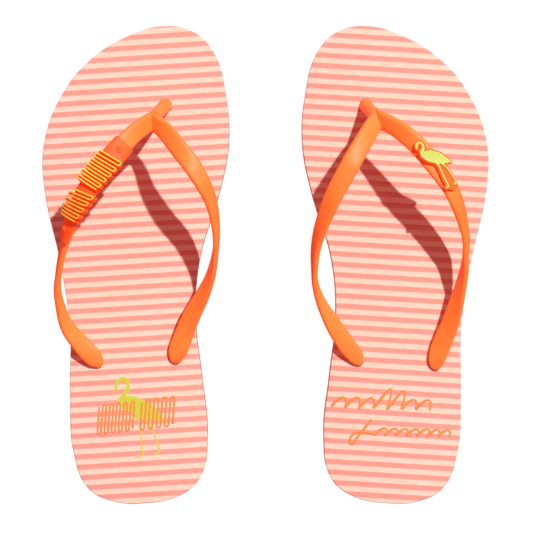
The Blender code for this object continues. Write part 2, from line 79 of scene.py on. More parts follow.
# ---- the sole, as in the CAD
FLEX_V = 32.0 * MM
OUTSOLE_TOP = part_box("left_outsole_rear")[1].z
MIDSOLE_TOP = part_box("left_midsole_rear")[1].z
FOOTBED_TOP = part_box("left_footbed_rear")[1].z
SOLE_OUTLINE = (  # (u, v) in mm, anticlockwise from the heel's end
    (-4, -124.5), (15, -121.5), (26, -113), (31, -92), (30, -60), (28.6, -30), (32.5, 0),
    (45.5, 36), (51.5, 60), (51.5, 86), (46.5, 108), (36, 119.5), (21, 123), (5, 119.8),
    (-17.5, 108), (-34, 90), (-44.5, 66), (-46, 46), (-39.5, 0), (-37, -30), (-39, -66),
    (-39, -96), (-32.5, -115), (-20, -122.5),
)
OUTLINE_STEPS = 9  # points for each knot
TOE_HOLE = (19.7, 81.9)
MEDIAL_HOLE = (18.6, -45.8)
LATERAL_HOLE = (-25.0, -45.8)
SHAFT_GAP = 0.15 * MM  # between a strap leg and the sole
PLUG_GAP = 0.25 * MM  # between a plug and its recess
BORE_SPARE = 2.0 * MM  # of a hole's cutter past its layer
FOOTBED_ROUND = 0.6 * MM  # radius of the footbed's upper edge
OUTSOLE_ROUND = 0.8 * MM  # and of the outsole's lower edge
PRINT_EDGE = 0.55 * MM  # how far the print goes down the edge
SOLE_BEND = 26.0 * MM  # the sole bends this far each side of the hinge
STRIP_SPAN = (-120.0, 121.0)  # v in mm, of the strips the sole is cut into
STRIP_COARSE = 8.0  # mm
STRIP_FINE = 2.5  # mm, where the sole bends
TREAD_SPAN = (-118.0, 118.0)  # v in mm
TREAD_PITCH = 4.4 * MM
TREAD_WIDTH = 1.3 * MM
TREAD_DEPTH = 1.1 * MM
TREAD_MARGIN = 4.0 * MM  # the grooves stop this far from the edge
TREAD_SWING = 1.1 * MM  # to each side
TREAD_WAVE = 11.0 * MM
TREAD_STEP = 1.5 * MM
SHARP = {"sole": 30, "mould": 45, "detail": 50}  # degrees at which an edge is sharp
STRAP_BEND = (70.0, -34.0)  # v in mm, where the strap's bend starts and ends

# ---- the strap. Rows run toe to heel: u, v and h (above the footbed) in mm, roll in degrees, width
# scale. The outer edge turns down as the roll grows, and each arm ends with its inner face up, near
# 180 degrees. Where the width scale is below FULL_SCALE, the strap thins too.
STRAP_HALF_WIDTH = 5.25 * MM
STRAP_RISE = 2.0 * MM
STRAP_DROP = 1.3 * MM
FULL_SCALE = 0.84
SECTION_POWER = 0.65  # below 1, the section is boxier than an ellipse
ARMS = {
    ("left", "medial"): (
        (8.6, 77.2, 26.0, -38, 0.92), (14.4, 71.9, 30.4, -37, 0.93), (19.9, 66.5, 34.2, -26, 0.92),
        (26.2, 57.5, 40.0, -12, 0.92), (34.1, 45.5, 42.5, 18, 0.90), (41.0, 29.0, 36.8, 56, 0.88),
        (42.2, 11.0, 28.0, 84, 0.84), (38.8, -6.0, 19.6, 112, 0.84), (33.8, -17.0, 14.2, 136, 0.88),
        (26.9, -28.5, 9.3, 160, 0.92), (22.5, -37.5, 5.6, 174, 0.94), (18.6, -46.0, 3.3, 170, 0.96),
        (17.5, -49.6, 2.4, 172, 0.74), (17.2, -51.8, 1.8, 174, 0.48), (17.1, -52.9, 1.4, 176, 0.18)),
    ("left", "lateral"): (
        (21.5, 76.5, 23.0, -32, 0.92), (13.4, 72.6, 29.5, -30, 0.92), (6.4, 68.1, 35.0, -24, 0.92),
        (0.0, 62.5, 39.0, -14, 0.94), (-9.6, 52.0, 42.0, 2, 0.95), (-23.2, 34.8, 38.0, 32, 0.94),
        (-34.3, 14.0, 27.5, 66, 0.87), (-40.4, -8.0, 17.5, 93, 0.84), (-40.0, -20.0, 12.5, 110, 0.84),
        (-37.3, -30.5, 8.3, 134, 0.89), (-31.4, -39.5, 5.2, 162, 0.92),
        (-26.0, -46.4, 2.9, 180, 0.92), (-23.6, -49.6, 2.1, 180, 0.72), (-22.9, -51.3, 1.7, 180, 0.48),
        (-22.7, -52.5, 1.3, 180, 0.18)),
    ("right", "medial"): (
        (9.4, 80.2, 23.3, -24, 0.90), (14.4, 73.2, 29.2, -22, 0.90), (18.4, 66.0, 34.5, -18, 0.92),
        (23.0, 57.0, 39.0, -8, 0.94), (27.6, 47.5, 41.0, 4, 0.95), (35.5, 29.5, 36.5, 28, 0.94),
        (41.0, 9.0, 26.5, 62, 0.88), (40.8, -9.5, 18.0, 92, 0.84), (37.6, -20.0, 13.4, 112, 0.84),
        (31.2, -31.0, 9.0, 141, 0.89), (25.6, -38.8, 5.8, 162, 0.92), (21.0, -44.6, 3.5, 175, 0.90),
        (17.3, -48.6, 2.3, 180, 0.80), (15.2, -51.4, 1.9, 180, 0.58), (14.5, -52.8, 1.6, 180, 0.38),
        (14.3, -53.8, 1.3, 180, 0.16)),
    ("right", "lateral"): (
        (21.5, 77.7, 23.4, -38, 0.92), (13.8, 73.6, 29.2, -36, 0.93), (6.0, 70.0, 33.5, -28, 0.93),
        (-2.3, 64.4, 37.0, -15, 0.92), (-11.7, 55.6, 38.5, 2, 0.93), (-25.5, 39.0, 34.5, 34, 0.92),
        (-34.2, 18.0, 24.5, 70, 0.86), (-35.3, 6.5, 19.6, 88, 0.84), (-34.9, -5.0, 15.2, 112, 0.86),
        (-31.0, -27.0, 8.5, 148, 0.93), (-26.7, -41.0, 4.4, 165, 0.97), (-25.2, -47.4, 3.1, 170, 0.86),
        (-24.9, -50.6, 2.3, 172, 0.68), (-24.9, -52.6, 1.8, 174, 0.44), (-24.9, -53.7, 1.4, 176, 0.16)),
}
CREASE = {  # where the two arms meet, rear end first: u, v, h in mm
    "left": ((13.3, 66.7, 29.3), (13.9, 77.6, 26.4)),
    "right": ((12.7, 67.8, 30.0), (14.8, 78.5, 27.3)),
}
CREASE_OVERLAP = 0.2 * MM  # each arm passes the crease by this much
VALLEY_SLOPE = 0.72  # how steeply the arms rise beside the crease
POST_TOP = (14.3, 73.8)  # u, v in mm of the toe post's top, under the crease
POST_FOOT = (19.5, 81.4)  # and of its foot, over the toe hole
POST_RADII = ((0.0, 3.7), (0.05, 3.75), (0.12, 3.55), (0.2, 3.4), (0.35, 3.3), (0.5, 3.3),
              (0.65, 3.4), (0.8, 3.5), (0.9, 3.6))  # share of its height, mm
POST_R = 3.7  # mm, at its top
POST_FLASH = {"left": 0.55, "right": 0.15}  # mm, on the foot's six corners
POST_FLASH_TURN = math.radians(50)
POST_FLASH_TOP = 0.35  # share of its height where they have faded out
SHAFT_R = 3.2 * MM
PLUG_R = 7.2 * MM
PLUG_FLOOR = 0.6 * MM  # clear of the ground
PLUG_LIP = 0.7 * MM
COLLAR_R = 3.9 * MM
COLLAR_LIFT = 0.05 * MM
COLLAR_PROFILE = ((0.0, 3.3), (0.35, 3.25), (0.65, 3.0), (0.85, 2.5), (0.97, 1.9), (1.0, 1.1),
                  (0.96, 0.35), (0.88, 0.0))  # share of COLLAR_R, mm high
AXIS_R = 0.02 * MM  # turned shapes keep this radius at their axis
STRAP_VOXEL = 0.38 * MM

# ---- the charms
BAND_THICKNESS = 1.1 * MM
BAND_LIFT = 0.2 * MM  # the band's underside above the strap
BAND_SPAN = (61.3, 14.5)  # v in mm
BAND_ARC = (math.radians(13), math.radians(167))  # of the strap's section
BAND_VOXEL = 0.28 * MM
STUD_AT = {"front": 58.2, "rear": 19.8}  # v in mm
STUD_SHANK_R = 1.1 * MM
STUD_RING = (  # radius, and height above the band, mm
    (0.02, 0.95), (0.5, 0.93), (0.9, 0.80), (1.12, 0.55), (1.22, 0.38), (1.45, 0.40), (1.62, 0.55),
    (1.80, 0.55), (1.95, 0.38), (1.98, 0.12), (1.90, 0.02),
)
STUD_BUTTON = (  # radius, and depth below the shank, mm
    (2.1, 0.0), (2.3, 0.25), (2.2, 0.7), (1.9, 0.9), (0.02, 0.95),
)
LOOP_SPANS = {"front": (54.2, 41.4), "rear": (37.6, 25.6)}  # v in mm
LOOP_STROKES = {"front": 11, "rear": 9}
LOOP_REACH = {"front": (7.2, -5.2), "rear": (6.4, -6.4)}  # mm from the arm's middle, outwards first
LOOP_LEAN = {"front": 0.10, "rear": 0.26}  # drift along the arm for each mm outwards
LOOP_FOOT = {"front": (-0.9, 1.0), "rear": (-1.1, 0.2)}  # the loops' feet: mm outwards, heelwards
LOOP_HEIGHT = 2.0 * MM
LOOP_SINK = 0.3 * MM  # of the loops' feet in the band
LOOP_FLANK = (0.46 * MM, 0.0, 0.93)  # half width, share of the height it spans
LOOP_CROWN = (0.41 * MM, 0.90, 1.0)
BIRD_AT = 63.5  # v in mm where the charm bird's plan begins
BIRD_VOXEL = 0.14 * MM
BASE_GROW = 0.75 * MM  # the base's margin round the bird
BASE_SPAN = (-0.4, 1.8)  # mm above the strap, bottom and top
FIGURE_SPAN = (1.7, 2.5)

# ---- the heel prints. Numbers without MM are in mm
INK_RISE = 0.05 * MM
INK_THICKNESS = 0.1 * MM
INK_VOXEL = 0.26 * MM
PRINT_LOOPS = ((-25.0, -6.6, 11), (-2.6, 14.4, 9))  # first u, last u, strokes
PRINT_LOOP_REACH = 6.6
PRINT_LOOP_V = -78.2
PRINT_LOOP_CLIMB = 0.055  # gain in v for each mm of u
PRINT_LOOP_LEAN = 0.14  # drift in u for each mm of v
PRINT_LOOP_PEN = 0.5 * MM
WAVE_PEN = 0.66 * MM
WAVE_LEAN = 1.3  # how far a crest leans over
WAVE_BULGE = 0.9  # how far its flanks bulge
WAVE_LEAD = ((6.7, -81.4, 0), (9.6, -85.4, 0), (13.4, -91.0, 0), (15.6, -94.6, 0),
             (17.2, -94.0, 0), (16.6, -90.4, 0), (12.6, -88.2, 0), (7.4, -88.4, 0))

# ---- the surroundings
BACKDROP_R = 6.0  # of the white dome round it all
SUN_TRAVEL = (-0.42, -0.53, -1.0)
CAMERA_DISTANCE = 1.5
CAMERA_AIM = (0.5 * MM, -0.8 * MM)  # the middle of the picture
FRAME_WIDTH = 0.2776  # at the footbed
SENSOR_WIDTH = 36.0  # mm

# ---- the printed stripes
STRIPE_PITCH = 5.41 * MM
STRIPE_MIDDLE = {"left": 1.71 * MM, "right": 0.94 * MM}  # v of one cream stripe's middle


# ======== materials

def srgb(red, green, blue):
    """An 8-bit screen colour as the linear colour that a shader takes."""
    def linear(value):
        value /= 255
        return value / 12.92 if value <= 0.04045 else ((value + 0.055) / 1.055) ** 2.4
    return linear(red), linear(green), linear(blue), 1.0


class Shader:
    """A material under construction, with short calls for the nodes used here."""

    def __init__(self, name):
        self.material = bpy.data.materials.new(name)
        self.material.use_nodes = True
        self.tree = self.material.node_tree
        self.bsdf = self.tree.nodes["Principled BSDF"]

    def node(self, kind, **inputs):
        node = self.tree.nodes.new(kind)
        for name, value in inputs.items():
            self.feed(node.inputs[name.replace("_", " ")], value)
        return node

    def feed(self, socket, value):
        if isinstance(value, bpy.types.NodeSocket):
            self.tree.links.new(value, socket)
        else:
            socket.default_value = value

    def math(self, operation, first, second=0.0, third=0.0):
        node = self.tree.nodes.new("ShaderNodeMath")
        node.operation = operation
        for socket, value in zip(node.inputs, (first, second, third)):
            self.feed(socket, value)
        return node.outputs[0]

    def noise(self, where, scale, detail=2.0, roughness=0.5):
        node = self.node("ShaderNodeTexNoise", Vector=where, Scale=scale, Detail=detail,
                         Roughness=roughness)
        return node.outputs["Fac"]

    def ramp(self, factor, stops):
        node = self.node("ShaderNodeValToRGB", Fac=factor)
        ramp = node.color_ramp
        while len(ramp.elements) < len(stops):
            ramp.elements.new(1.0)
        for element, (position, colour) in zip(ramp.elements, stops):
            element.position = position
            element.color = colour
        return node.outputs["Color"]

    def multiply(self, first, second):
        """One colour times another."""
        node = self.tree.nodes.new("ShaderNodeMix")
        node.data_type = "RGBA"
        node.blend_type = "MULTIPLY"
        self.feed(node.inputs["Factor"], 1.0)
        self.feed(node.inputs[6], first)
        self.feed(node.inputs[7], second)
        return node.outputs[2]

    def bump(self, height, distance, strength=1.0, under=None):
        node = self.node("ShaderNodeBump", Height=height, Distance=distance, Strength=strength)
        if under is not None:
            self.feed(node.inputs["Normal"], under)
        return node.outputs["Normal"]

    def place(self):
        """Object coordinates: metres in the row frame."""
        return self.tree.nodes.new("ShaderNodeTexCoord").outputs["Object"]

    def uv(self):
        node = self.tree.nodes.new("ShaderNodeUVMap")
        node.uv_map = "plan"
        return node.outputs["UV"]

    def set(self, **values):
        for name, value in values.items():
            self.feed(self.bsdf.inputs[name.replace("_", " ")], value)
        return self.material


def grey(value):
    return value, value, value, 1


def eva_grain(shader, where):
    """The closed-cell skin of EVA foam: a fine pebble over broader soft waves."""
    pebble = shader.noise(where, scale=2600.0, roughness=0.6)
    waves = shader.noise(where, scale=420.0)
    skin = shader.bump(pebble, distance=0.05 * MM, strength=0.55)
    return shader.bump(waves, distance=0.12 * MM, strength=0.35, under=skin)


def striped_eva(name, stripe_middle):
    """The footbed's printed top: pink and cream bars, a pale misprint line, and uneven ink."""
    shader = Shader(f"{name} striped EVA")
    where = shader.uv()
    split = shader.node("ShaderNodeSeparateXYZ", Vector=where)
    wobble = shader.noise(where, scale=900.0, detail=3.0, roughness=0.6)
    raggedness = 0.22 * MM
    ragged = shader.math("MULTIPLY_ADD", wobble, raggedness, -raggedness / 2)
    v = shader.math("ADD", split.outputs["Y"], ragged)
    turns = shader.math("MULTIPLY_ADD", v, 1 / STRIPE_PITCH, 0.5 - stripe_middle / STRIPE_PITCH)
    phase = shader.math("FRACT", turns)
    pink, cream, misprint = srgb(240, 172, 158), srgb(253, 230, 210), srgb(255, 216, 210)
    bars = shader.ramp(phase, ((0.0, pink), (0.232, pink), (0.268, cream), (0.668, cream),
                               (0.70, misprint), (0.752, misprint), (0.79, pink), (1.0, pink)))
    mottle = shader.noise(where, scale=700.0, detail=3.0, roughness=0.65)
    tone = shader.ramp(mottle, ((0.32, grey(0.93)), (0.68, grey(1.0))))
    drawn_out = shader.node("ShaderNodeMapping", Vector=where, Scale=(0.3, 1.0, 1.0))
    streaks = shader.noise(drawn_out.outputs["Vector"], scale=520.0, roughness=0.6)
    uneven = shader.ramp(streaks, ((0.34, srgb(252, 243, 232)), (0.66, srgb(255, 255, 255))))
    inked = shader.multiply(shader.multiply(bars, tone), uneven)
    return shader.set(Base_Color=inked, Roughness=0.74, Specular_IOR_Level=0.3,
                      Normal=eva_grain(shader, where))


def foam(name, colour, shadow, roughness=0.8):
    """Cut or moulded foam and rubber in one colour."""
    shader = Shader(name)
    where = shader.place()
    cloud = shader.noise(where, scale=240.0, detail=3.0, roughness=0.6)
    tint = shader.ramp(cloud, ((0.3, shadow), (0.7, colour)))
    pores = shader.noise(where, scale=2200.0, roughness=0.7)
    return shader.set(Base_Color=tint, Roughness=roughness, Specular_IOR_Level=0.25,
                      Normal=shader.bump(pores, distance=0.08 * MM, strength=0.6))


def soft_pvc(name, colour, deep, glow, strength, roughness=0.52, specular=0.25):
    """Moulded satin PVC in a fluorescent colour, a little translucent, with a painted glow."""
    shader = Shader(name)
    where = shader.place()
    cloud = shader.noise(where, scale=60.0)
    tint = shader.ramp(cloud, ((0.35, deep), (0.65, colour)))
    satin = shader.noise(where, scale=1500.0)
    spread = 0.10
    sheen = shader.math("MULTIPLY_ADD", shader.noise(where, scale=320.0), spread,
                        roughness - spread / 2)
    shader.bsdf.subsurface_method = "RANDOM_WALK"
    # glow and strength are a painted glow, standing in for fluorescence; it keeps shaded faces red
    return shader.set(Base_Color=tint, Roughness=sheen, Specular_IOR_Level=specular,
                      Subsurface_Weight=0.15, Subsurface_Radius=(1.0, 0.30, 0.08),
                      Subsurface_Scale=2.2 * MM, Emission_Color=glow, Emission_Strength=strength,
                      Normal=shader.bump(satin, distance=0.02 * MM, strength=0.25))


def ink(name, colour, thin):
    """Screen-printed ink on foam, a little uneven and speckled."""
    shader = Shader(name)
    where = shader.place()
    speckle = shader.noise(where, scale=1500.0, detail=3.0, roughness=0.7)
    tint = shader.ramp(speckle, ((0.36, thin), (0.52, colour)))
    return shader.set(Base_Color=tint, Roughness=0.6, Specular_IOR_Level=0.3,
                      Normal=shader.bump(speckle, distance=0.04 * MM, strength=0.5))


# Each PVC's third colour and its strength give its painted glow.
ORANGE = soft_pvc("neon orange PVC", srgb(255, 149, 64), srgb(255, 141, 56),
                  srgb(255, 50, 8), 0.30, roughness=0.50, specular=0.42)
RED_ORANGE = soft_pvc("red orange PVC", srgb(255, 114, 46), srgb(255, 106, 40),
                      srgb(255, 44, 8), 0.25)
BASE_ORANGE = soft_pvc("charm base PVC", srgb(255, 118, 46), srgb(255, 110, 40),
                       srgb(255, 44, 8), 0.25)
# The band's PVC made darker for the loops' flanks: painted shade on their sides.
PAINTED_SHADE_ORANGE = soft_pvc("deep orange PVC", srgb(255, 98, 28), srgb(255, 90, 24),
                       srgb(255, 40, 4), 0.25)
YELLOW = soft_pvc("yellow PVC", srgb(255, 226, 84), srgb(255, 220, 74), srgb(255, 190, 20), 0.06)
LIME = soft_pvc("lime PVC", srgb(210, 236, 124), srgb(204, 232, 114), srgb(190, 220, 20), 0.05)
CORAL_FOAM = foam("coral foam", srgb(252, 146, 130), srgb(246, 138, 122))
CORAL_RUBBER = foam("coral rubber", srgb(246, 134, 118), srgb(240, 126, 110), roughness=0.62)
LIME_INK = ink("lime ink", srgb(194, 218, 56), srgb(214, 216, 86))
ORANGE_INK = ink("orange ink", srgb(255, 148, 66), srgb(255, 166, 96))


# ======== mesh tools

def linked(name, data):
    obj = bpy.data.objects.new(name, data)
    bpy.context.scene.collection.objects.link(obj)
    return obj


def mesh_object(name, mesh, *materials):
    """An object with just these materials, and every face in the first one."""
    obj = linked(name, mesh)
    mesh.materials.clear()
    for finish in materials:
        mesh.materials.append(finish)
    return obj


def from_bmesh(bm, name):
    bmesh.ops.recalc_face_normals(bm, faces=bm.faces)
    mesh = bpy.data.meshes.new(name)
    bm.to_mesh(mesh)
    bm.free()
    return mesh


def opened(mesh):
    bm = bmesh.new()
    bm.from_mesh(mesh)
    return bm


def sliced(bm, point, across, **options):
    """Cuts every face of bm at a plane."""
    return bmesh.ops.bisect_plane(bm, geom=bm.verts[:] + bm.edges[:] + bm.faces[:],
                                  plane_co=point, plane_no=across, dist=1e-7, **options)


def applied(mesh, *steps):
    """The mesh after some modifiers, each a (type, settings) pair."""
    holder = mesh_object("holder", mesh)
    for kind, settings in steps:
        modifier = holder.modifiers.new(kind, kind)
        for name, value in settings.items():
            setattr(modifier, name, value)
    evaluated = holder.evaluated_get(bpy.context.evaluated_depsgraph_get())
    result = bpy.data.meshes.new_from_object(evaluated)
    bpy.data.objects.remove(holder)
    return result


def joined(meshes):
    """Several meshes as one, with their surfaces still apart."""
    bm = bmesh.new()
    for mesh in meshes:
        bm.from_mesh(mesh)
    whole = bpy.data.meshes.new("joined")
    bm.to_mesh(whole)
    bm.free()
    return whole


def fused(meshes, voxel, rounds):
    """Closed shapes melted into one skin, as a mould gives it."""
    return applied(joined(meshes),
                   ("REMESH", {"mode": "VOXEL", "voxel_size": voxel, "adaptivity": 0.0}),
                   ("SMOOTH", {"factor": 0.5, "iterations": rounds}))


def cut(mesh, cutter):
    tool = mesh_object("tool", cutter)
    result = applied(mesh, ("BOOLEAN", {"operation": "DIFFERENCE", "solver": "EXACT",
                                        "object": tool}))
    bpy.data.objects.remove(tool)
    return result


def loft(rings, name="loft"):
    """A closed tube through rings of points, with flat ends."""
    bm = bmesh.new()
    made = [[bm.verts.new(point) for point in ring] for ring in rings]
    count = len(made[0])
    for ring, after in zip(made, made[1:]):
        for i in range(count):
            j = (i + 1) % count
            bm.faces.new((ring[i], ring[j], after[j], after[i]))
    bm.faces.new(made[0])
    bm.faces.new(made[-1])
    return from_bmesh(bm, name)


def trimmed(mesh, point, away):
    """The mesh cut flat at a plane, without what lies on its far side."""
    bm = opened(mesh)
    found = sliced(bm, point, away, clear_outer=True)
    rim = [piece for piece in found["geom_cut"] if isinstance(piece, bmesh.types.BMEdge)]
    bmesh.ops.contextual_create(bm, geom=rim)
    return from_bmesh(bm, "trimmed")


def smooth_shading(mesh, degrees):
    mesh.shade_smooth()
    mesh.set_sharp_from_angle(angle=math.radians(degrees))
    return mesh


def disc(radius, bottom, top, sides=48):
    bm = bmesh.new()
    bmesh.ops.create_cone(bm, cap_ends=True, segments=sides, radius1=radius, radius2=radius,
                          depth=top - bottom, matrix=Matrix.Translation((0, 0, (top + bottom) / 2)))
    return from_bmesh(bm, "disc")


def turned(profile, sides=64):
    """A solid of revolution: the profile runs down its outer side, from axis to axis."""
    rings = [[Vector((radius * math.cos(a), radius * math.sin(a), z))
              for a in (math.tau * k / sides for k in range(sides))] for radius, z in profile]
    return loft(rings, "turned")


def rounded(points, steps):
    """A Catmull-Rom line through a few points."""
    points = [Vector(point) for point in points]
    ends = [points[0] * 2 - points[1], *points, points[-1] * 2 - points[-2]]
    line = []
    for a, b, c, d in zip(ends, ends[1:], ends[2:], ends[3:]):
        for k in range(steps):
            t = k / steps
            line.append(0.5 * (2 * b + (c - a) * t + (2 * a - 5 * b + 4 * c - d) * t**2
                               + (3 * b - a - 3 * c + d) * t**3))
    return line + [points[-1]]


# ======== sandal frames and arms

class Sandal:
    """A sandal's own frame, read from its flex hinge."""

    def __init__(self, name, side):
        self.name, self.side = name, side  # side is +1 on the left and -1 on the right
        hinge = JOINTS[f"{name}_sole_flex"]
        self.front, self.rear = hinge["parent"], hinge["child"]
        across = -Vector(hinge["axis"]).normalized()
        ahead = UP.cross(across)
        origin = Vector(hinge["pos_m"]) - ahead * FLEX_V
        origin.z = 0
        self.matrix = (Matrix.Translation(origin)
                       @ Matrix((across, ahead, UP)).transposed().to_4x4())

    def local(self, u, v, z=0.0):
        """A point in the sandal's own axes, from u and v in mm."""
        return Vector((self.side * u * MM, v * MM, z))

    def world(self, u, v, z=0.0):
        return self.matrix @ self.local(u, v, z)

    def nodes(self, *names):
        return [f"{self.name}_{name}" for name in names]

    def piece(self, name, mesh, slot, nodes, *materials):
        """Places a finished local mesh in the row frame, in place of its CAD nodes."""
        mesh.transform(self.matrix)
        obj = mesh_object(f"{self.name}_{name}", mesh, *materials)
        if nodes:
            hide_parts(*self.nodes(*nodes))
        return obj

    def bend_sole(self, obj):
        reach = SOLE_BEND / MM
        flex = FLEX_V / MM
        self.world(0, flex + reach)
        self.world(0, flex - reach)
        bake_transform(obj)

    def bend_strap(self, obj):
        self.world(0, STRAP_BEND[0])
        self.world(0, STRAP_BEND[1])
        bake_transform(obj)

    def strap_piece(self, *made):
        self.bend_strap(self.piece(*made))


class Arm:
    """One arm of a strap, as a smooth function of v (mm) between its stations."""

    def __init__(self, sandal, which):
        self.rows = sorted(ARMS[sandal.name, which], key=lambda row: row[1])
        self.sandal = sandal
        self.outward = sandal.side if which == "medial" else -sandal.side

    def values(self, v):
        rows = self.rows
        last = len(rows) - 2
        i = next((k for k in range(last) if v <= rows[k + 1][1]), last)
        span = rows[i + 1][1] - rows[i][1]
        t = (v - rows[i][1]) / span

        def slope(k, column):
            low, high = max(k - 1, 0), min(k + 1, len(rows) - 1)
            return (rows[high][column] - rows[low][column]) / (rows[high][1] - rows[low][1])

        def hermite(column):
            a, b = rows[i][column], rows[i + 1][column]
            ma, mb = slope(i, column) * span, slope(i + 1, column) * span
            return (a * (2 * t**3 - 3 * t**2 + 1) + ma * (t**3 - 2 * t**2 + t)
                    + b * (3 * t**2 - 2 * t**3) + mb * (t**3 - t**2))

        return [hermite(column) for column in (0, 2, 3, 4)]

    def point(self, v):
        u, h = self.values(v)[:2]
        return self.sandal.local(u, v, FOOTBED_TOP + h * MM)

    def scale(self, v):
        return self.values(v)[3]

    def frame(self, v):
        """Outwards across the arm, and out of its upper face."""
        along = (self.point(v - 0.5) - self.point(v + 0.5)).normalized()
        level = UP.cross(along).normalized()
        if level.x * self.outward < 0:
            level.negate()
        up = along.cross(level)
        if up.z < 0:
            up.negate()
        roll = math.radians(self.values(v)[2])
        return (level * math.cos(roll) - up * math.sin(roll),
                up * math.cos(roll) + level * math.sin(roll))

    def lay(self, v, across, above):
        """A point by its distance across the arm and above its middle line."""
        outward, normal = self.frame(v)
        return self.point(v) + outward * across + normal * above

    def stand(self, v):
        """The matrix that stands an upright piece on the arm."""
        outward, normal = self.frame(v)
        turn = Matrix((outward, normal.cross(outward), normal)).transposed().to_4x4()
        return Matrix.Translation(self.point(v)) @ turn

    def walk(self, start, finish, steps, parts=400):
        """Values of v, evenly spaced along the arm itself."""
        fine = [start + (finish - start) * k / parts for k in range(parts + 1)]
        length = [0.0]
        for here, there in zip(fine, fine[1:]):
            length.append(length[-1] + (self.point(there) - self.point(here)).length)
        found, k = [], 0
        for step in range(steps + 1):
            wanted = length[-1] * step / steps
            while k < parts - 1 and length[k + 1] < wanted:
                k += 1
            share = (wanted - length[k]) / (length[k + 1] - length[k])
            found.append(fine[k] + (fine[k + 1] - fine[k]) * min(share, 1))
        return found

    def distance(self, start, finish, steps=200):
        """How far it is along the arm from one v to another, in metres."""
        marks = [self.point(start + (finish - start) * k / steps) for k in range(steps + 1)]
        return sum((there - here).length for here, there in zip(marks, marks[1:]))

    def ruler(self, start, stride=0.25, reach=46.0):
        """A function from distance along the arm (mm, heelwards) to v."""
        marks, gone, v = [(0.0, start)], 0.0, start
        while gone < reach:
            gone += (self.point(v - stride) - self.point(v)).length / MM
            v -= stride
            marks.append((gone, v))
        backward = stride / marks[1][0]

        def find(distance):
            if distance <= 0:
                return start - distance * backward
            k = bisect.bisect_left(marks, (distance,))
            if k >= len(marks):
                return marks[-1][1]
            (low, a), (high, b) = marks[k - 1], marks[k]
            return a + (b - a) * (distance - low) / (high - low)
        return find


# ======== the sole

def outline(sandal, inset):
    """The sole's edge as an anticlockwise ring of local points, drawn in by an inset."""
    curve = bpy.data.curves.new("outline", "CURVE")
    spline = curve.splines.new("BEZIER")
    spline.resolution_u = OUTLINE_STEPS
    spline.use_cyclic_u = True
    spline.bezier_points.add(len(SOLE_OUTLINE) - 1)
    for knot, (u, v) in zip(spline.bezier_points, SOLE_OUTLINE):
        knot.co = (u * MM, v * MM, 0)
        knot.handle_left_type = knot.handle_right_type = "AUTO"
    holder = linked("outline", curve)
    mesh = holder.evaluated_get(bpy.context.evaluated_depsgraph_get()).to_mesh()
    ring = [vertex.co.copy() for vertex in mesh.vertices]
    bpy.data.objects.remove(holder)
    count = len(ring)
    drawn = []
    for k, point in enumerate(ring):
        tangent = (ring[(k + 1) % count] - ring[k - 1]).normalized()
        inward = Vector((-tangent.y, tangent.x, 0))
        moved = point + inward * inset
        drawn.append(Vector((sandal.side * moved.x, moved.y, 0)))
    return drawn


def sole_plate(sandal, rim):
    """A plate with the sole's outline. rim lists (inset, height) pairs from bottom to top."""
    return loft([[point + UP * z for point in outline(sandal, inset)] for inset, z in rim],
                "plate")


def bored(sandal, plate, rim, radius):
    """The plate with its three holes for the strap."""
    for hole in (TOE_HOLE, MEDIAL_HOLE, LATERAL_HOLE):
        bore = disc(radius, rim[0][1] - BORE_SPARE, rim[-1][1] + BORE_SPARE)
        bore.transform(Matrix.Translation(sandal.local(*hole)))
        plate = cut(plate, bore)
    return plate


def strip_across(mesh):
    """Cuts a plate into narrow strips across the foot, narrowest where it bends."""
    bm = opened(mesh)
    v, finish = STRIP_SPAN
    while v < finish:
        sliced(bm, (0, v * MM, 0), (0, 1, 0))
        near = abs(v - FLEX_V / MM) < SOLE_BEND / MM + STRIP_FINE
        v += STRIP_FINE if near else STRIP_COARSE
    return from_bmesh(bm, "strips")


def plan_uv(mesh):
    """Plan coordinates in metres, for patterns that belong to the sole."""
    layer = mesh.uv_layers.new(name="plan")
    for loop in mesh.loops:
        layer.data[loop.index].uv = mesh.vertices[loop.vertex_index].co.xy


def edge_round(radius, height, inward, steps=5):
    """(inset, height) pairs that turn a square rim into a quarter round, going up."""
    pairs = []
    for k in range(steps + 1):
        angle = math.pi / 2 * k / steps
        if inward:
            pairs.append((radius * (1 - math.cos(angle)), height - radius * (1 - math.sin(angle))))
        else:
            pairs.append((radius * (1 - math.sin(angle)), height + radius * (1 - math.cos(angle))))
    return pairs


def sole_piece(sandal, layer, slot, mesh, *finishes):
    """A layer of the sole, in place of its two CAD halves."""
    smooth_shading(mesh, SHARP["sole"])
    return sandal.piece(layer, mesh, slot, (f"{layer}_front", f"{layer}_rear"), *finishes)


def make_footbed(sandal):
    rim = [(0.0, MIDSOLE_TOP), *edge_round(FOOTBED_ROUND, FOOTBED_TOP, True)]
    mesh = strip_across(bored(sandal, sole_plate(sandal, rim), rim, SHAFT_R + SHAFT_GAP))
    plan_uv(mesh)
    print_edge = FOOTBED_TOP - PRINT_EDGE
    indices = [0 if face.center.z > print_edge and face.normal.z > 0.2 else 1
               for face in mesh.polygons]
    stripes = striped_eva(sandal.name, STRIPE_MIDDLE[sandal.name])
    obj = sole_piece(sandal, "footbed", "printed_footbed", mesh, stripes, CORAL_FOAM)
    for face, index in zip(obj.data.polygons, indices):
        face.material_index = index
    sandal.bend_sole(obj)


def make_midsole(sandal):
    rim = [(0.25 * MM, OUTSOLE_TOP), (0.0, OUTSOLE_TOP + 0.3 * MM),
           (0.0, MIDSOLE_TOP - 0.15 * MM), (0.18 * MM, MIDSOLE_TOP)]
    mesh = strip_across(bored(sandal, sole_plate(sandal, rim), rim, SHAFT_R + SHAFT_GAP))
    obj = sole_piece(sandal, "midsole", "foam_midsole", mesh, CORAL_FOAM)
    sandal.bend_sole(obj)


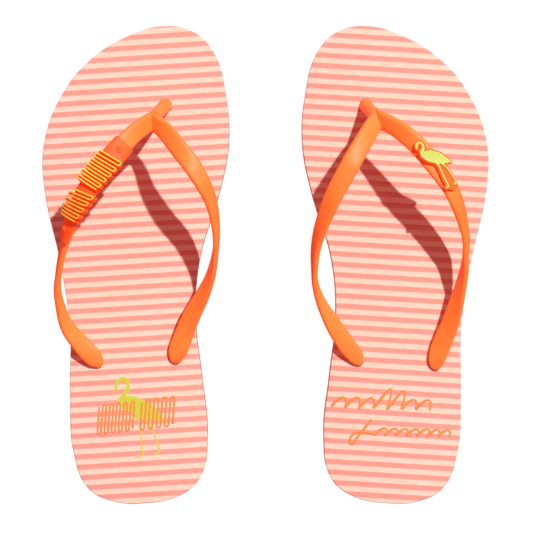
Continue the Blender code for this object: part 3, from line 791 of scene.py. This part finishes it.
def groove(left, right, v):
    """A wavy bar from left to right, with a rounded top, that cuts one groove of the tread."""
    half, depth = TREAD_WIDTH / 2, TREAD_DEPTH
    section = ((-half, -MM), (half, -MM), (half, depth * 0.8), (half / 2, depth),
               (-half / 2, depth), (-half, depth * 0.8))
    steps = max(8, int((right - left) / TREAD_STEP))
    rings = []
    for k in range(steps + 1):
        x = left + (right - left) * k / steps
        y = v + TREAD_SWING * math.sin(math.tau * x / TREAD_WAVE)
        rings.append([Vector((x, y + aside, z)) for aside, z in section])
    return loft(rings, "groove")


def tread_grooves(sandal):
    """Wavy grooves across the underside, stopping short of its edge."""
    edge = outline(sandal, TREAD_MARGIN)
    bars = []
    v, finish = (end * MM for end in TREAD_SPAN)
    while v < finish:
        crossings = []
        for a, b in zip(edge, edge[1:] + edge[:1]):
            if (a.y - v) * (b.y - v) < 0:
                crossings.append(a.x + (b.x - a.x) * (v - a.y) / (b.y - a.y))
        bars.append(groove(min(crossings), max(crossings), v))
        v += TREAD_PITCH
    return joined(bars)


def make_outsole(sandal):
    rim = [*edge_round(OUTSOLE_ROUND, 0.0, False, 3), (0.0, OUTSOLE_TOP - 0.2 * MM),
           (0.15 * MM, OUTSOLE_TOP)]
    plate = cut(sole_plate(sandal, rim), tread_grooves(sandal))
    mesh = strip_across(bored(sandal, plate, rim, PLUG_R + PLUG_GAP))
    sandal.bend_sole(sole_piece(sandal, "outsole", "outsole", mesh, CORAL_RUBBER))


# ======== the strap

def section_point(angle, grow=0.0):
    """A point (across, above) on the strap's section, or outside it by grow."""
    cosine, sine = math.cos(angle), math.sin(angle)
    height = STRAP_RISE if sine > 0 else STRAP_DROP
    return ((STRAP_HALF_WIDTH + grow) * math.copysign(abs(cosine) ** SECTION_POWER, cosine),
            (height + grow) * math.copysign(abs(sine) ** SECTION_POWER, sine))


def strap_section(points=44):
    return [section_point(math.tau * k / points) for k in range(points)]


def sweep(arm, stations, section):
    """A closed section (across, above) swept along an arm."""
    rings = []
    for v in stations:
        k = arm.scale(v)
        thin = min(1.0, k / FULL_SCALE)
        rings.append([arm.lay(v, x * k, z * thin) for x, z in section])
    return loft(rings, "sweep")


def plug(collar):
    """A strap leg below the footbed, with its mushroom head and, at the rear, its round collar."""
    under, lip = OUTSOLE_TOP, PLUG_LIP
    profile = [(0.0, FOOTBED_TOP + 1.2 * MM), (SHAFT_R, FOOTBED_TOP + 1.2 * MM)]
    if collar:
        base = FOOTBED_TOP + COLLAR_LIFT
        profile = [(share * COLLAR_R, base + height * MM) for share, height in COLLAR_PROFILE]
        profile.append((SHAFT_R, base))
    profile += [(SHAFT_R, under), (PLUG_R - 0.3 * MM, under), (PLUG_R, under - 0.4 * MM),
                (PLUG_R, PLUG_FLOOR + lip), (PLUG_R - 0.3 * lip, PLUG_FLOOR + 0.3 * lip),
                (PLUG_R - lip, PLUG_FLOOR), (0.0, PLUG_FLOOR)]
    return turned([(max(radius, AXIS_R), z) for radius, z in profile])


def valley(sandal, u, v):
    """The height (mm) of the arms' middle surface beside their crease."""
    (u0, v0, h0), (u1, v1, h1) = CREASE[sandal.name]
    share = (v - v0) / (v1 - v0)
    return h0 + (h1 - h0) * share + VALLEY_SLOPE * abs(u - u0 - (u1 - u0) * share)


def post_ring(u, v, radius, lobes=0.0, sides=40):
    """A ring of (u, v) in mm; lobes makes six soft corners."""
    points = []
    for a in (math.tau * k / sides for k in range(sides)):
        reach = radius + lobes * math.cos(6 * (a - POST_FLASH_TURN))
        points.append((u + reach * math.cos(a), v + reach * math.sin(a)))
    return points


def toe_post(sandal):
    """The toe post: a flared foot, a lean back, and a top that fills the arms' valley."""
    low, high = 0.05, valley(sandal, *POST_TOP)
    rings = []
    for share, radius in POST_RADII:
        u, v = (a + (b - a) * share for a, b in zip(POST_FOOT, POST_TOP))
        level = FOOTBED_TOP + (low + (high - low) * share) * MM
        lobes = POST_FLASH[sandal.name] * max(0.0, 1 - share / POST_FLASH_TOP)
        rings.append([sandal.local(*place, level) for place in post_ring(u, v, radius, lobes)])
    for radius in (POST_R, 0.6 * POST_R, 0.2 * POST_R):
        rings.append([sandal.local(*place, FOOTBED_TOP + valley(sandal, *place) * MM)
                      for place in post_ring(*POST_TOP, radius)])
    return loft(rings, "post")


def arm_solid(sandal, arm):
    """One arm of the strap, cut off where it meets the other one."""
    stations = arm.walk(arm.rows[-1][1], arm.rows[0][1], 150)
    rear, front = (sandal.local(u, v) for u, v, h in CREASE[sandal.name])
    away = UP.cross(front - rear).normalized()
    if away.x * arm.outward > 0:
        away.negate()
    return trimmed(sweep(arm, stations, strap_section()), rear + away * CREASE_OVERLAP, away)


def make_strap(sandal, arms):
    parts = [arm_solid(sandal, arm) for arm in arms.values()]
    parts.append(toe_post(sandal))
    for hole, collar in ((TOE_HOLE, False), (MEDIAL_HOLE, True), (LATERAL_HOLE, True)):
        leg = plug(collar)
        leg.transform(Matrix.Translation(sandal.local(*hole)))
        parts.append(leg)
    mesh = fused(parts, STRAP_VOXEL, 6)
    mesh.shade_smooth()
    sandal.strap_piece("strap_moulding", mesh, "orange_strap", ("strap",), ORANGE)


# ======== the charms

def band_section(points=22):
    """A thin cap over the strap's convex top, with rounded edges."""
    low, high = BAND_ARC

    def arc(grow, inset):
        return [section_point(low + inset + (high - low - 2 * inset) * k / (points - 1), grow)
                for k in range(points)]

    inner, outer = BAND_LIFT, BAND_LIFT + BAND_THICKNESS
    middle = arc(outer * 0.75, -0.02)
    return arc(inner, 0.02) + middle[-1:] + arc(outer, 0.06)[::-1] + middle[:1]


def make_band(sandal, arm):
    """The charm's band, with a hole for each stud."""
    stations = arm.walk(*BAND_SPAN, 90)
    band = fused([sweep(arm, stations, band_section())], BAND_VOXEL, 3)
    for v in STUD_AT.values():
        bore = disc(STUD_SHANK_R + 0.1 * MM, -9 * MM, 9 * MM)
        bore.transform(arm.stand(v))
        band = cut(band, bore)
    smooth_shading(band, SHARP["mould"])
    sandal.strap_piece("band", band, "red_orange_charm", ("charm_band",), RED_ORANGE)


def make_stud(sandal, arm, name, v):
    """A snap stud: a flat ring with a domed middle above, a plain button below."""
    top = STRAP_RISE + BAND_LIFT + BAND_THICKNESS
    low = -STRAP_DROP - 0.2 * MM
    above = [(radius * MM, top + z * MM) for radius, z in STUD_RING]
    shank = [(STUD_SHANK_R, top + 0.02 * MM), (STUD_SHANK_R, low)]
    below = [(radius * MM, low - z * MM) for radius, z in STUD_BUTTON]
    mesh = turned(above + shank + below, 40)
    mesh.transform(arm.stand(v))
    smooth_shading(mesh, SHARP["detail"])
    sandal.strap_piece(f"stud_{name}", mesh, "red_orange_charm", (f"charm_stud_{name}",),
                       RED_ORANGE)


def loop_path(start, finish, strokes, reach, turn_steps=7, stroke_steps=8):
    """A serpentine of tall narrow loops as (along, across) pairs; along runs from 0 to 1."""
    gap = 1 / (strokes - 1)
    path = []
    for k in range(strokes):
        sign = 1 if k % 2 else -1
        along = start + (finish - start) * k * gap
        for i in range(stroke_steps + 1):
            path.append((along, -sign * reach * (1 - 2 * i / stroke_steps)))
        if k == strokes - 1:
            break
        half = (finish - start) * gap / 2
        for i in range(1, turn_steps):
            angle = math.pi * i / turn_steps
            path.append((along + half * (1 - math.cos(angle)),
                         sign * (reach + abs(half) * math.sin(angle))))
    return path


def leaning_bar(feet, tops, half_width, low, high):
    """A rounded bar between two shares of the way from one line of points to another."""
    rings = []
    for k, (foot, top) in enumerate(zip(feet, tops)):
        forward = (tops[min(k + 1, len(tops) - 1)] - tops[max(k - 1, 0)]).normalized()
        side = forward.cross(top - foot).normalized() * half_width
        crown = 0.35 * half_width / (top - foot).length
        shape = ((-1, low), (1, low), (1, high - 2 * crown), (0.78, high - 0.6 * crown),
                 (0.38, high), (-0.38, high), (-0.78, high - 0.6 * crown), (-1, high - 2 * crown))
        rings.append([foot.lerp(top, z) + side * x for x, z in shape])
    return loft(rings, "bar")


def make_loops(sandal, arm, name):
    """Tall narrow loops leaning over on the band: flanks in a darker orange that paints their shade,
    and a yellow top.
    """
    find = arm.ruler(LOOP_SPANS[name][0])
    length = arm.distance(*LOOP_SPANS[name])
    outer, inner = LOOP_REACH[name]
    middle, half = (outer + inner) / 2, (outer - inner) / 2
    out_step, heel_step = LOOP_FOOT[name]
    base = STRAP_RISE + BAND_LIFT + BAND_THICKNESS
    feet, tops = [], []
    for along, across in loop_path(0.0, 1.0, LOOP_STROKES[name], 1.0):
        gone = along * length / MM + LOOP_LEAN[name] * across * half
        wide = middle + across * half
        sag = 0.9 * MM * max(0.0, abs(wide) / 6.5 - 0.55)  # towards both ends of a stroke
        tops.append(arm.lay(find(gone), wide * MM, base + LOOP_HEIGHT - sag))
        foot_wide = wide + out_step
        foot_sag = 0.4 * STRAP_RISE * min(1.0, (foot_wide / 7.0) ** 4)  # as the band does
        feet.append(arm.lay(find(gone + heel_step), foot_wide * MM, base - LOOP_SINK - foot_sag))
    for shape, piece, slot, nodes, finish in (
            # the flanks take the orange darkened as painted shade
            (LOOP_FLANK, "loops", "red_orange_charm", (), PAINTED_SHADE_ORANGE),
            (LOOP_CROWN, "loop_tops", "yellow_relief", (f"charm_meander_{name}",), YELLOW)):
        bar = leaning_bar(feet, tops, *shape)
        smooth_shading(bar, SHARP["detail"])
        sandal.strap_piece(f"{piece}_{name}", bar, slot, nodes, finish)


# ---- plain wading birds, as strokes of round dots: x, y, radius in mm
CHARM_BIRD = (  # x heelwards along the arm, y outwards
    ((5.7, -1.5, 0.3), (5.0, -0.9, 0.55), (4.25, 0.4, 0.68), (4.4, 1.8, 0.66), (5.4, 2.3, 0.62),
     (6.7, 1.8, 0.64), (7.7, 0.7, 0.72), (8.5, -0.9, 0.95), (10.2, -1.2, 1.6)),
    ((15.0, 3.3, 2.5), (18.2, 5.1, 1.35), (21.0, 6.6, 0.35)),
    ((16.2, 2.2, 1.9), (18.4, 3.9, 1.1), (20.2, 5.0, 0.3)),
    ((15.6, 0.9, 1.2), (17.8, 0.7, 0.55), (21.0, -0.4, 0.38), (24.5, -1.7, 0.38),
     (28.9, -2.9, 0.38), (29.3, -4.3, 0.42)),
    ((16.8, 2.4, 1.2), (18.6, 2.6, 0.55), (21.6, 2.8, 0.38), (24.2, 2.7, 0.38),
     (29.8, 2.0, 0.38), (30.3, 0.4, 0.42)),
)
CHARM_BODY = (13.2, 1.5, 5.0, 3.1, 40)  # middle x, y, half length, half width, turn
CHARM_WEB = (  # the base's extra width under the legs
    ((17.5, 1.6, 1.4), (22.0, 1.2, 1.9), (26.2, 0.3, 2.5), (29.2, -0.3, 2.7)),
)
PRINT_BIRD = (  # x towards the big toe, y towards the toe tip
    ((-14.9, -65.9, 0.35), (-14.9, -63.9, 0.75), (-14.4, -61.4, 1.02), (-12.8, -59.5, 1.05),
     (-10.4, -59.3, 1.05), (-8.8, -61.2, 1.0), (-8.9, -64.4, 1.0), (-10.8, -67.4, 1.15),
     (-12.6, -70.4, 1.9)),
    ((0.0, -75.4, 3.7), (4.6, -78.3, 2.1), (9.2, -81.8, 0.45)),
    ((1.0, -77.4, 2.6), (4.2, -80.0, 1.4), (6.6, -82.0, 0.35)),
    ((-5.2, -78.0, 1.3), (-3.6, -82.5, 0.62), (-3.3, -88.0, 0.42), (-3.5, -94.0, 0.42),
     (-3.4, -99.2, 0.42), (-7.2, -100.6, 0.4)),
    ((-1.2, -79.2, 1.3), (1.5, -83.3, 0.62), (3.4, -88.3, 0.42), (4.7, -93.0, 0.42),
     (5.7, -97.9, 0.42), (2.6, -99.5, 0.4)),
)
PRINT_BODY = (-5.8, -73.3, 8.6, 4.4, -22)


def bird_shape(strokes, body, grow, half_height, voxel):
    """A bird as one flat plate with soft edges, in its own plane."""
    parts = []
    for points in strokes:
        for here in rounded(points, 16 if len(points) > 3 else 9):  # dots for each stretch
            dot = disc(here.z * MM + grow, -half_height, half_height, 20)
            dot.transform(Matrix.Translation((here.x * MM, here.y * MM, 0)))
            parts.append(dot)
    x, y, length, width, turn = body
    oval = disc(1.0, -half_height, half_height, 64)
    oval.transform(Matrix.Translation((x * MM, y * MM, 0))
                   @ Matrix.Rotation(math.radians(turn), 4, "Z")
                   @ Matrix.Diagonal((length * MM + grow, width * MM + grow, 1, 1)))
    parts.append(oval)
    return fused(parts, voxel, 4)


def lay_on_arm(mesh, arm, start, above):
    """Wraps a flat shape (x heelwards, y outwards) on the arm's upper face."""
    find = arm.ruler(start)
    for vertex in mesh.vertices:
        x, y, z = vertex.co
        vertex.co = arm.lay(find(x / MM), y, above + z)
    return from_bmesh(opened(mesh), "laid")


def make_bird_charm(sandal, arm):
    """The bird on its broader base, sitting on the strap."""
    voxel = BIRD_VOXEL
    for name, strokes, grow, (low, high), finish, slot, node in (
            ("bird_base", CHARM_BIRD + CHARM_WEB, BASE_GROW, BASE_SPAN, BASE_ORANGE,
             "red_orange_charm", "flamingo_base"),
            ("bird_figure", CHARM_BIRD, 0.0, FIGURE_SPAN, LIME, "lime_relief",
             "flamingo_figure")):
        half = (high - low) / 2 * MM
        flat = bird_shape(strokes, CHARM_BODY, grow, half, voxel)
        mesh = lay_on_arm(flat, arm, BIRD_AT, STRAP_RISE + low * MM + half)
        mesh.shade_smooth()
        sandal.strap_piece(name, mesh, slot, (node,), finish)


# ======== heel prints

def ink_plate(mesh):
    """Flattens a plate that is 2 mm thick into a film of ink on the footbed."""
    middle = FOOTBED_TOP + INK_RISE - INK_THICKNESS / 2
    mesh.transform(Matrix.Translation((0, 0, middle))
                   @ Matrix.Diagonal((1, 1, INK_THICKNESS / 2 / MM, 1)))
    return mesh


def heel_piece(sandal, name, mesh, material):
    mesh.shade_smooth()
    obj = sandal.piece(name, mesh, "printed_footbed", (), material)
    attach(obj, sandal.rear)


def make_heel_bird(sandal):
    bird = bird_shape(PRINT_BIRD, PRINT_BODY, 0.0, MM, INK_VOXEL)
    bird.transform(Matrix.Diagonal((sandal.side, 1, 1, 1)))
    heel_piece(sandal, "heel_bird", ink_plate(bird), LIME_INK)


def pen_line(sandal, line, radius, lift=0.0):
    """A pen stroke of ink through (u, v, pressure) points."""
    points = [sandal.local(u, v, FOOTBED_TOP + lift) for u, v, _ in line]
    rings = []
    for k, point in enumerate(points):
        forward = (points[min(k + 1, len(points) - 1)] - points[max(k - 1, 0)]).normalized()
        side = forward.cross(UP).normalized() * radius * line[k][2]
        rings.append([point - side - UP * 0.04 * MM, point + side - UP * 0.04 * MM,
                      point + side + UP * 0.03 * MM, point + UP * 0.06 * MM,
                      point - side + UP * 0.03 * MM])
    return loft(rings, "pen")


def make_heel_loops(sandal):
    """Two groups of tall narrow loops, printed over the bird like those on the charm."""
    films = []
    for start, finish, strokes in PRINT_LOOPS:
        line = []
        for along, across in loop_path(start, finish, strokes, PRINT_LOOP_REACH):
            middle = PRINT_LOOP_V + PRINT_LOOP_CLIMB * along
            line.append((along + PRINT_LOOP_LEAN * across, middle + across, 1.0))
        films.append(pen_line(sandal, line, PRINT_LOOP_PEN, lift=0.03 * MM))
    heel_piece(sandal, "heel_loops", joined(films), ORANGE_INK)


def wave_line(start, finish, middle, climb, rise, crests, tall, rng):
    """A rolling pen wave of (u, v, pressure) points: v starts at middle, and gains climb by the
    end. A crest's height is rise, times a random size, times its factor in tall."""
    line = []
    steps = crests * 24
    size = [rng.uniform(0.8, 1.1) for _ in range(crests + 1)]
    for k in range(steps + 1):
        t = k / steps
        turns = t * crests
        which = int(min(turns, crests - 1e-6))
        phase = turns * math.tau
        swing = -math.cos(phase)
        height = size[which] + (size[which + 1] - size[which]) * (turns - which)
        if swing > 0:
            height *= tall.get(which, 1.0)
        lean = WAVE_BULGE * math.sin(phase) - WAVE_LEAN * swing * height
        u = start + (finish - start) * t + lean
        v = middle + climb * t + rise * swing * height
        line.append((u, v, 0.95 + 0.2 * math.sin(phase + 0.6)))
    return line


def make_heel_waves(sandal):
    """Two hand-drawn rolling wave lines, the lower one led in by a long loop."""
    rng = random.Random(7)
    upper = wave_line(start=27.0, finish=-24.5, middle=-73.4, climb=1.4, rise=2.9, crests=7,
                      tall={3: 3.0, 4: 2.6}, rng=rng)
    lead = [(point.x, point.y, 1.0) for point in rounded(WAVE_LEAD, 10)]
    lower = wave_line(start=3.4, finish=-35.0, middle=-87.4, climb=1.2, rise=2.1, crests=7,
                      tall={}, rng=rng)
    films = [pen_line(sandal, line, WAVE_PEN) for line in (upper, lead + lower)]
    heel_piece(sandal, "heel_waves", joined(films), ORANGE_INK)


# ======== floor, light and camera

def glowing(name, albedo, glow, tint=(1, 1, 1)):
    shader = Shader(name)
    return shader.set(Base_Color=grey(albedo), Roughness=0.9, Specular_IOR_Level=0.1,
                      Emission_Color=(*tint, 1), Emission_Strength=glow)


def table_sheet(name, height, finish):
    bm = bmesh.new()
    bmesh.ops.create_grid(bm, x_segments=2, y_segments=2, size=BACKDROP_R)
    sheet = mesh_object(name, from_bmesh(bm, name), finish)
    sheet.location.z = height
    return sheet


def make_floor():
    """A plain white table for the camera, and a dimmer one under it that lights the soles."""
    shown = table_sheet("floor", -0.2 * MM, glowing("white table", 0.05, 1.0))
    shown.visible_diffuse = False
    shown.visible_glossy = False
    bounce = table_sheet("bounce", -1.0 * MM, glowing("table bounce", 0.0, 0.36, (1, 0.72, 0.68)))
    bounce.visible_camera = False
    bounce.visible_glossy = False


def make_backdrop():
    """A white dome that only the camera sees, for low views."""
    bm = bmesh.new()
    bmesh.ops.create_uvsphere(bm, u_segments=64, v_segments=32, radius=BACKDROP_R)
    dome = mesh_object("backdrop", from_bmesh(bm, "backdrop"), glowing("backdrop", 0.0, 1.0))
    dome.data.shade_smooth()
    for ray in ("diffuse", "glossy", "transmission", "volume_scatter", "shadow"):
        setattr(dome, f"visible_{ray}", False)


def make_light():
    """A crisp sun from the upper right, and a dim warm fill."""
    sun = bpy.data.lights.new("sun", "SUN")
    sun.energy = 3.25
    sun.angle = math.radians(1.6)
    holder = linked("sun", sun)
    holder.rotation_euler = Vector(SUN_TRAVEL).to_track_quat("-Z", "Y").to_euler()
    world = bpy.data.worlds.new("fill")
    world.use_nodes = True
    sky = world.node_tree.nodes["Background"]
    sky.inputs["Color"].default_value = (1.0, 0.29, 0.315, 1)
    sky.inputs["Strength"].default_value = 0.38
    bpy.context.scene.world = world


def make_camera():
    """Straight above the pair, toes up in the frame."""
    camera = bpy.data.cameras.new("camera")
    camera.sensor_width = SENSOR_WIDTH
    camera.lens = SENSOR_WIDTH * CAMERA_DISTANCE / FRAME_WIDTH
    holder = linked("camera", camera)
    holder.location = (*CAMERA_AIM, FOOTBED_TOP + CAMERA_DISTANCE)
    bpy.context.scene.camera = holder


# ======== the pair

def make_pair():
    for name, side in (("left", 1), ("right", -1)):
        sandal = Sandal(name, side)
        arms = {which: Arm(sandal, which) for which in ("medial", "lateral")}
        make_footbed(sandal)
        make_midsole(sandal)
        make_outsole(sandal)
        make_strap(sandal, arms)
        if name == "left":
            make_band(sandal, arms["lateral"])
            for end in ("front", "rear"):
                make_stud(sandal, arms["lateral"], end, STUD_AT[end])
                make_loops(sandal, arms["lateral"], end)
            make_heel_bird(sandal)
            make_heel_loops(sandal)
        else:
            make_bird_charm(sandal, arms["lateral"])
            make_heel_waves(sandal)


bpy.context.scene.view_settings.view_transform = "Standard"
make_camera()
make_light()
make_floor()
make_backdrop()
make_pair()
